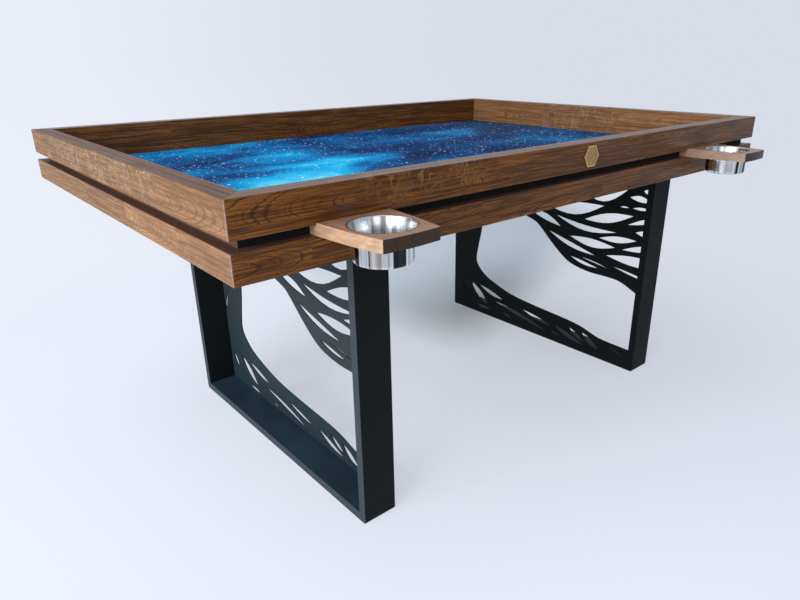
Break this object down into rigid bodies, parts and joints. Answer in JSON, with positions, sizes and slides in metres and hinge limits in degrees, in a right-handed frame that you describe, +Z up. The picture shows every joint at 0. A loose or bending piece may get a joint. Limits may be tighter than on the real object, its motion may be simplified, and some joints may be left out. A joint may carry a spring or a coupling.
{
  "type": "board game table",
  "caption": "Oak game table with a sunken play mat, an accessory slot round the rail with sliding cup holders, and welded steel leg frames with cut root and branch panels.",
  "frame": {"origin": "on the floor, under the middle of the whole outline with its cup holders", "axes": "+Z up, +X along the long side, -Y towards the front with the badge and cup holders"},
  "size_m": [1.632, 1.284, 0.75],
  "materials": {
    "oak": "oiled",
    "oak_liner": "oiled",
    "plywood": "sanded",
    "mat": "printed",
    "black_strip": "matte",
    "black_steel": "powder coat",
    "screw_steel": "zinc",
    "brass": "satin",
    "cup_steel": "polished"
  },
  "bodies": {
    "table": {"upper_rail_front": "oak", "upper_rail_back": "oak", "upper_rail_left": "oak", "upper_rail_right": "oak", "lower_rail_front": "oak", "lower_rail_back": "oak", "lower_rail_left": "oak", "lower_rail_right": "oak", "liner_front": "oak_liner", "liner_back": "oak_liner", "liner_left": "oak_liner", "liner_right": "oak_liner", "slot_strip_front": "black_strip", "slot_strip_back": "black_strip", "play_bed": "plywood", "ledger_front": "plywood", "ledger_back": "plywood", "ledger_left": "plywood", "ledger_right": "plywood", "cross_beam_left": "plywood", "cross_beam_middle": "plywood", "cross_beam_right": "plywood", "left_front_post": "black_steel", "left_rear_post": "black_steel", "left_foot_bar": "black_steel", "left_top_plate": "black_steel", "left_root_panel": "black_steel", "left_branch_panel": "black_steel", "left_leg_screws": "screw_steel", "right_front_post": "black_steel", "right_rear_post": "black_steel", "right_foot_bar": "black_steel", "right_top_plate": "black_steel", "right_root_panel": "black_steel", "right_branch_panel": "black_steel", "right_leg_screws": "screw_steel", "badge": "brass"},
    "mat": {"play_mat": "mat"},
    "left_holder": {"holder_left": "oak"},
    "left_cup": {"cup_left": "cup_steel"},
    "right_holder": {"holder_right": "oak"},
    "right_cup": {"cup_right": "cup_steel"}
  },
  "joints": [
    {"name": "mat_lift", "type": "slide", "parent": "table", "child": "mat", "axis": [0, 0, 1], "range_m": [0, 0.1]},
    {"name": "left_holder_slide", "type": "slide", "parent": "table", "child": "left_holder", "axis": [1, 0, 0], "range_m": [-0.108, 0.48]},
    {"name": "left_cup_lift", "type": "slide", "parent": "left_holder", "child": "left_cup", "axis": [0, 0, 1], "range_m": [0, 0.07]},
    {"name": "right_holder_slide", "type": "slide", "parent": "table", "child": "right_holder", "axis": [1, 0, 0], "range_m": [-0.455, 0.215]},
    {"name": "right_cup_lift", "type": "slide", "parent": "right_holder", "child": "right_cup", "axis": [0, 0, 1], "range_m": [0, 0.07]}
  ]
}
